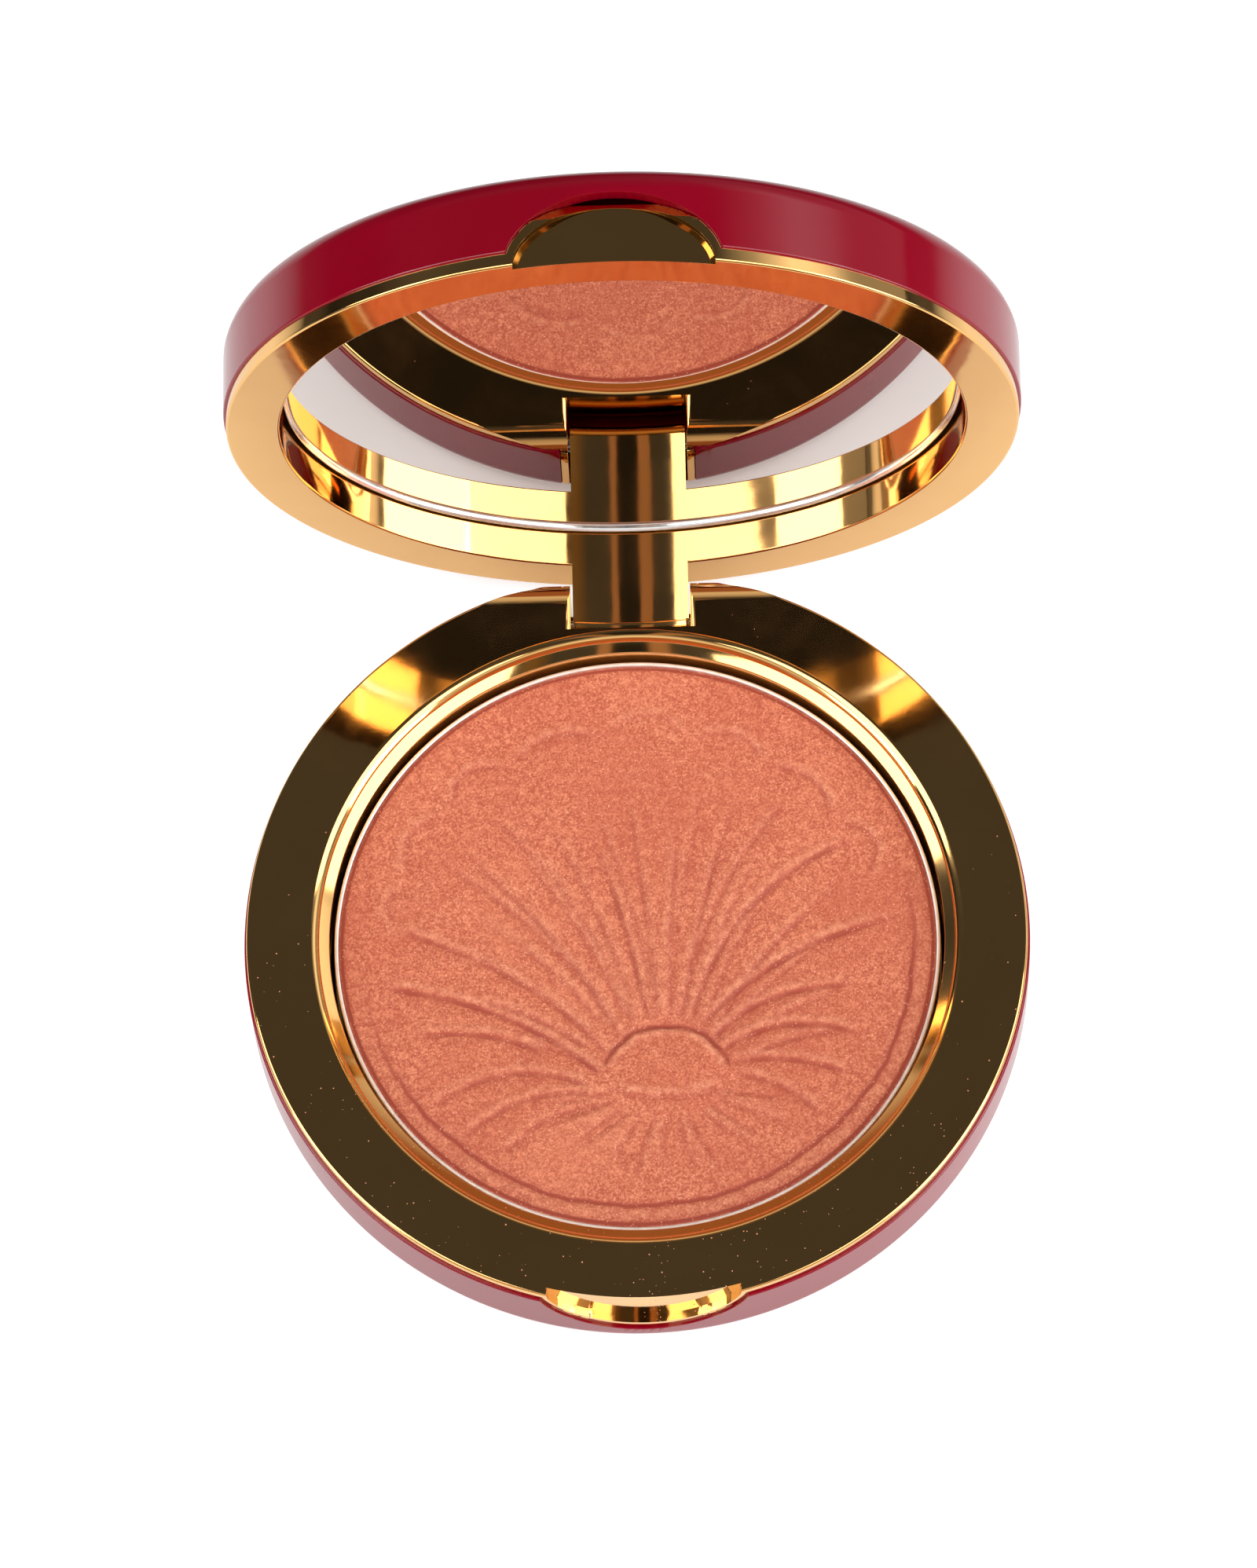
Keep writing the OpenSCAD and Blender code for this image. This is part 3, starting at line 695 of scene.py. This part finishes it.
def cake():
    R = PAN_R - PAN_T - 0.03
    nr, na = ((142, 640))
    rr = R * np.linspace(0, 1, nr + 1)[1:]
    aa = 2 * np.pi * np.arange(na) / na
    A, Q = np.meshgrid(aa, rr)
    x, y = (Q * np.cos(A)).ravel(), (Q * np.sin(A)).ravel()
    h, crease, force, ridge = powder_height(x, y)
    rad = Q.ravel()
    t = np.clip(rad / R, 0, 1)
    crown = PAN_RIM - 0.10 + 0.34 * (1 - t**2)
    edge = np.clip((R - rad) / 0.75, 0, 1)
    z = crown + h * np.clip((R - rad) / 1.2, 0, 1) - 0.24 * (1 - edge) ** 2
    # painted shade: a dark ring where the cake dips to meet the pan's wall
    rim = np.clip(1.35 - abs(R - 0.28 - rad) / 0.30, 0, 1)
    force = np.where(rim > crease * force, 0.95, force)
    crease = np.maximum(crease, rim)
    z = np.minimum(z, PAN_RIM + 0.95)
    co = [(0.0, 0.0, float(crown[0] + h[:1].mean()))]
    co += list(zip(x.tolist(), y.tolist(), z.tolist()))
    side = nr * na + 1
    for zz, r in ((PAN_RIM - 1.2, R), (PAN_Z + PAN_T + 0.5, R), (PAN_Z + PAN_T + 0.02, R - 0.5)):
        co += [(r * math.cos(a), r * math.sin(a), zz) for a in aa]
    co.append((0.0, 0.0, PAN_Z + PAN_T + 0.02))
    faces = [(0, 1 + j, 1 + (j + 1) % na) for j in range(na)]
    rows = nr + 3
    for i in range(rows - 1):
        o = 1 + i * na
        for j in range(na):
            k = (j + 1) % na
            faces.append((o + j, o + na + j, o + na + k, o + k))
    o = 1 + (rows - 1) * na
    last = len(co) - 1
    faces += [(last, o + (j + 1) % na, o + j) for j in range(na)]
    me = bpy.data.meshes.new("powder_cake_relief")
    me.from_pydata(co, [], faces)
    me.update()
    at = me.color_attributes.new("relief", "FLOAT_COLOR", "POINT")
    buf = np.zeros((len(co), 4), np.float32)
    buf[:, 3] = 1
    # the relief attribute carries closeness to a crease, the ridge and the crease's strength, for the powder's painted
    # shade and painted highlight
    buf[1:side, 0] = crease
    buf[1:side, 1] = ridge
    buf[1:side, 2] = force
    at.data.foreach_set("color", buf.ravel())
    ob = bpy.data.objects.new("powder_cake_relief", me)
    bpy.context.scene.collection.objects.link(ob)
    place(ob, "base", POWDER, "pressed_powder", "powder_cake", angle=60, weighted=False)
    return ob


cake()

# ------------------------------------------------------------------ lid, drawn shut
cap = lathe("lid_shell_skin", soft([
    (0, TOP_Z - WALL), (CASE_R - WALL, TOP_Z - WALL, LID_ROUND - WALL), (CASE_R - WALL, RIM_Z + TRIM_H, 0.05),
    (CASE_R, RIM_Z + TRIM_H, 0.22), (CASE_R, TOP_Z, LID_ROUND), (0, TOP_Z)], n=9))
boolean(cap, prism_xz("c", oval(THUMB_A, THUMB_B, RIM_Z, 1, 2), -CASE_R - 3, -CASE_R + WALL + 1.5), "DIFFERENCE")
bevel(tidy(cap), 0.06, 3)
place(cap, "lid", RED, "red_lacquer", "lid_shell", lid=True)

K = MOUTH_R
knuckle = [(HINGE_Y + 1.65 * math.cos(a), HINGE_Z + 1.65 * math.sin(a)) for a in [math.radians(180 + 120 * i / 18) for i in range(19)]]
hoop = lathe("lid_frame_skin", soft([
    (0, CEIL_Z + 1), (SKIRT_R, CEIL_Z + 1, 0.3), (TRIM_R, CEIL_Z - 0.8), (TRIM_R, RIM_Z, 0.28), (37.55, RIM_Z), (37.55, HINGE_Z),
    (37.3, HINGE_Z - 0.25)], n=6, hold=0.08) + knuckle[::-1] + [(K, RIM_Z), (K, RIM_Z + 0.5), (K, MIRROR_Z - 0.05), (K, CEIL_Z), (0, CEIL_Z)])
ring = lathe("r", [(SKIRT_R, RIM_Z + TRIM_H), (CASE_R + 2, RIM_Z + TRIM_H), (CASE_R + 2, TOP_Z + 3), (SKIRT_R, TOP_Z + 3)], closed=True)
boolean(ring, prism_xz("c", oval(THUMB_A - 0.06, THUMB_B - 0.06, RIM_Z, 1, 2), -CASE_R - 4, -SKIRT_R + 3), "DIFFERENCE")
boolean(hoop, ring, "DIFFERENCE")
# everything below the rim but the tongue comes away, which leaves the rim's rounded inner and outer edges
q = 0.24
inner = [(K - 0.01 + q - q * math.sin(a), RIM_Z + q - q * math.cos(a)) for a in [math.pi / 2 * (1 - i / 7) for i in range(8)]]
q2 = 0.28
outer = [(TRIM_R + 0.01 - q2 + q2 * math.sin(a), RIM_Z + q2 - q2 * math.cos(a)) for a in [math.pi / 2 * i / 7 for i in range(8)]]
under = lathe("u", [(K - 1.5, 0), (K - 1.5, RIM_Z + q)] + inner + [(K + 0.4, RIM_Z), (TRIM_R - 0.4, RIM_Z)] + outer
              + [(TRIM_R + 1, RIM_Z + q2), (TRIM_R + 1, 0)], closed=True)
boolean(under, block("c", (-TONGUE, 20, -1), (TONGUE, 45, RIM_Z + 3)), "DIFFERENCE")
boolean(hoop, under, "DIFFERENCE")
dish = prism_xz("d", oval(DISH_A, DISH_B, RIM_Z, 1, 2), -CASE_R - 4, -DISH_R + 5)
boolean(dish, lathe("c", [(0, -5), (DISH_R, -5), (DISH_R, 30), (0, 30)]), "DIFFERENCE")
boolean(hoop, dish, "DIFFERENCE")
bore = []
for i in range(32):
    a = 2 * math.pi * i / 32
    bore.append((HINGE_Y + 0.8 * math.cos(a), HINGE_Z + 0.8 * math.sin(a)))
boolean(hoop, prism_yz("c", bore, -9, 9), "DIFFERENCE")
bevel(tidy(hoop), 0.08, 3)
place(hoop, "lid", GOLD, "gold_metallised", "lid_frame", lid=True)

# mirror: a polished bevel runs round the glass, in front of the silvering
SEEN, EDGE = 0.50, 0.47
glass = lathe("mirror_bevelled_rim", soft([
    (MIRROR_R - EDGE, MIRROR_Z + SEEN + 0.02), (MIRROR_R - 0.34, MIRROR_Z + 0.24, 0.5), (MIRROR_R - 0.11, MIRROR_Z, 0.06), (MIRROR_R, MIRROR_Z, 0.05),
    (MIRROR_R, BACK_Z, 0.1), (MIRROR_R - EDGE, BACK_Z)], n=4, hold=0.03), closed=True)
place(glass, "lid", GROUND, "mirror", "mirror_glass", lid=True)
plate = lathe("mirror_silvering", soft([
    (0, MIRROR_Z + SEEN), (MIRROR_R - EDGE - 0.01, MIRROR_Z + SEEN, 0.02), (MIRROR_R - EDGE - 0.01, BACK_Z - 0.02, 0.02), (0, BACK_Z - 0.02)], n=3, hold=0.05))
place(plate, "lid", SILVER, "mirror", "mirror_glass", lid=True)

# ------------------------------------------------------------------ small CAD nodes that keep their shape
for node, mat in (("hinge_pin", STEEL), ("base_magnets", NICKEL), ("lid_magnets", NICKEL), ("pan_adhesive", GLUE),
                  ("mirror_adhesive", GLUE), ("base_label", PAPER)):
    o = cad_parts[node]
    o.data.materials.clear()
    o.data.materials.append(mat)

# ------------------------------------------------------------------ studio
bm = bmesh.new()
bmesh.ops.create_grid(bm, x_segments=8, y_segments=8, size=3.0)
me = bpy.data.meshes.new("studio_floor")
bm.to_mesh(me)
bm.free()
floor = bpy.data.objects.new("studio_floor", me)
bpy.context.scene.collection.objects.link(floor)
floor.location = (0, 0, -0.00002)
fm = Nodes("studio_paper")
# reflections see a table of limited size
sx = fm.new("ShaderNodeVectorMath", operation="LENGTH")
fm.link(fm.obj(), sx.inputs[0])
far = fm.map(sx.outputs["Value"], 0.16, 0.34, 0.0, 1.0)
far = fm.math("MULTIPLY", far, fm.new("ShaderNodeLightPath").outputs["Is Glossy Ray"])
fm.set(Base_Color=fm.mix(far, (0.58, 0.58, 0.58), (0.02, 0.02, 0.02)), Roughness=0.9, Emission_Color=(1.0, 1.0, 1.0),
       Emission_Strength=fm.math("ADD", fm.map(far, 0.0, 1.0, 0.40, 0.0), fm.math("MULTIPLY", fm.new("ShaderNodeLightPath").outputs["Is Camera Ray"], 0.25)))
me.materials.append(fm.m)


def softbox(name, x0, x1, y0, y1, z, radiance, tint=(1, 1, 1)):
    """A level panel over the object, facing down, of a given brightness."""
    li = bpy.data.lights.new(name, "AREA")
    li.shape = "RECTANGLE"
    li.size, li.size_y = x1 - x0, y1 - y0
    li.energy = radiance * math.pi * li.size * li.size_y
    li.color = tint
    o = bpy.data.objects.new(name, li)
    o.location = ((x0 + x1) / 2, (y0 + y1) / 2, z)
    bpy.context.scene.collection.objects.link(o)
    return o


H = 0.55
softbox("softbox_left", -1.75 * H, -0.27 * H, -0.52 * H, 0.27 * H, H, 3.9)
softbox("softbox_right", 0.36 * H, 2.0 * H, -0.68 * H, 0.32 * H, H, 3.7)


def side_panel(name, at, width, height, radiance):
    """An upright panel that faces the object."""
    o = softbox(name, -width / 2, width / 2, -height / 2, height / 2, 0, radiance)
    at = Vector(at)
    o.location = at
    o.rotation_euler = (-(Vector((0, 0, 0.03)) - at)).to_track_quat("Z", "Y").to_euler()
    return o


side_panel("panel_left", (-1.30, -0.56, 0.60), 0.75, 0.66, 5.0)
side_panel("panel_right", (1.30, -0.54, 0.42), 0.75, 0.86, 5.5)

world = bpy.data.worlds.new("studio")
bpy.context.scene.world = world
world.use_nodes = True
wt = world.node_tree
wt.nodes.clear()
wo = wt.nodes.new("ShaderNodeOutputWorld")
bg = wt.nodes.new("ShaderNodeBackground")
tc = wt.nodes.new("ShaderNodeTexCoord")
sx = wt.nodes.new("ShaderNodeSeparateXYZ")


def wmath(op, a, b=None, clamp=False):
    n = wt.nodes.new("ShaderNodeMath")
    n.operation = op
    n.use_clamp = clamp
    for k, v in enumerate((a, b)):
        if v is None:
            continue
        if isinstance(v, (int, float)):
            n.inputs[k].default_value = v
        else:
            wt.links.new(v, n.inputs[k])
    return n.outputs[0]


def wramp(src, lo, hi, stops):
    m = wt.nodes.new("ShaderNodeMapRange")
    for k, v in zip((1, 2, 3, 4), (lo, hi, 0.0, 1.0)):
        m.inputs[k].default_value = v
    wt.links.new(src, m.inputs[0])
    n = wt.nodes.new("ShaderNodeValToRGB")
    e = n.color_ramp.elements
    while len(e) < len(stops):
        e.new(0.5)
    for el, (p, c) in zip(e, stops):
        el.position = (p - lo) / (hi - lo)
        el.color = (*c, 1) if isinstance(c, tuple) else (c, c, c, 1)
    wt.links.new(m.outputs[0], n.inputs[0])
    return n.outputs[0]


def wmix(fac, a, b):
    n = wt.nodes.new("ShaderNodeMix")
    n.data_type = "RGBA"
    for sck, v in ((n.inputs[0], fac), (n.inputs[6], a), (n.inputs[7], b)):
        wt.links.new(v, sck)
    return n.outputs[2]


wt.links.new(tc.outputs["Generated"], sx.inputs[0])
up = wmath("MAXIMUM", sx.outputs[2], 0.05)
U, V = wmath("DIVIDE", sx.outputs[0], up), wmath("DIVIDE", sx.outputs[1], up)
# ceiling: dark behind the zenith, paler on the near side
sky = wramp(V, -3.0, 3.0, [(-3.0, 1.15), (-1.4, 1.05), (-0.85, 0.66), (-0.55, 0.28), (-0.45, 0.22), (-0.12, 0.11), (0.12, 0.071), (0.62, 0.069), (1.1, 0.12), (3.0, 0.3)])
# soft spill of the right-hand light towards the back
spill = wmath("MULTIPLY", wramp(U, 0.0, 4.0, [(0.0, 0.0), (0.55, 0.0), (0.84, 0.32), (1.25, 1.0), (2.2, 1.0), (3.0, 0.5), (4.0, 0.2)]),
              wramp(V, 0.0, 3.0, [(0.0, 0.0), (0.26, 0.0), (0.40, 1.0), (1.1, 1.0), (1.6, 0.5), (3.0, 0.1)]))
spill = wmath("MULTIPLY", spill, 1.35)
both = wt.nodes.new("ShaderNodeMix")
both.data_type = "RGBA"
both.blend_type = "ADD"
both.inputs[0].default_value = 1.0
wt.links.new(sky, both.inputs[6])
wt.links.new(spill, both.inputs[7])
sky = both.outputs[2]
# upright stand and its two lit edges in the gap between the softboxes, on the near side
bars = wramp(U, -0.4, 0.4, [(-0.4, 0.07), (-0.15, 0.07), (-0.140, (0.42, 0.25, 0.16)), (-0.078, (0.46, 0.27, 0.18)), (-0.066, 0.02), (0.052, 0.02),
                            (0.062, (0.46, 0.27, 0.18)), (0.090, (0.46, 0.27, 0.18)), (0.099, 0.07), (0.24, 0.07), (0.31, (0.20, 0.13, 0.05)), (0.4, 0.1)])
near = wmath("MULTIPLY", wramp(V, -1.0, 0.2, [(-1.0, 0.0), (-0.62, 1.0), (-0.2, 1.0), (0.0, 0.0), (0.2, 0.0)]),
             wramp(U, -0.5, 0.5, [(-0.5, 0.0), (-0.4, 1.0), (0.4, 1.0), (0.5, 0.0)]))
sky = wmix(near, sky, bars)
# a dim wall on the right, nothing on the left
low = wmath("MULTIPLY", wramp(sx.outputs[2], 0.0, 0.6, [(0.0, 1.0), (0.25, 0.9), (0.5, 0.0), (0.6, 0.0)]),
            wramp(sx.outputs[1], -1.0, 1.0, [(-1.0, 0.0), (-0.62, 0.0), (-0.30, 1.0), (1.0, 1.0)]))
tan = wmath("MULTIPLY", wramp(sx.outputs[2], 0.0, 0.6, [(0.0, 1.0), (0.40, 1.0), (0.50, 0.0), (0.6, 0.0)]),
            wramp(sx.outputs[1], -1.0, 1.0, [(-1.0, 1.0), (-0.80, 1.0), (-0.45, 0.0), (1.0, 0.0)]))
tan_col = wt.nodes.new("ShaderNodeRGB")
tan_col.outputs[0].default_value = (0.48, 0.21, 0.11, 1)
sky = wmix(tan, sky, tan_col.outputs[0])
wall = wramp(sx.outputs[0], -1.0, 1.0, [(-1.0, 0.02), (-0.2, 0.03), (0.3, 0.22), (0.8, 0.38), (1.0, 0.40)])
sky = wmix(low, sky, wall)
# the camera itself looks at a pale backdrop
pale = wt.nodes.new("ShaderNodeRGB")
pale.outputs[0].default_value = (1.0, 1.0, 1.0, 1)
lp = wt.nodes.new("ShaderNodeLightPath")
sky = wmix(lp.outputs["Is Camera Ray"], sky, pale.outputs[0])
wt.links.new(sky, bg.inputs[0])
wt.links.new(bg.outputs[0], wo.inputs[0])

sc = bpy.context.scene
sc.view_settings.view_transform = "Standard"
sc.view_settings.look = "None"
sc.view_settings.exposure = 0.0
sc.view_settings.gamma = 1.0

# ------------------------------------------------------------------ camera
RX, RY, RZ = 2.768286, 0.013167, -0.024733
T = Vector((0.020827, 0.380054, 22.157292)) * 0.0378
ROT = Matrix.Rotation(RZ, 3, "Z") @ Matrix.Rotation(RY, 3, "Y") @ Matrix.Rotation(RX, 3, "X")
cam = bpy.data.cameras.new("camera")
cam.sensor_fit = "AUTO"
cam.sensor_width = 36.0
cam.lens = 11029.254 / 1996.0 * 36.0
cam.clip_start, cam.clip_end = 0.01, 20
co = bpy.data.objects.new("camera", cam)
loc = -(ROT.transposed() @ T) + Vector((0, 0, BASE_H * MM))
co.matrix_world = Matrix.Translation(loc) @ (ROT.transposed() @ Matrix.Diagonal((1, -1, -1))).to_4x4()
sc.collection.objects.link(co)
sc.camera = co

bpy.context.view_layer.update()
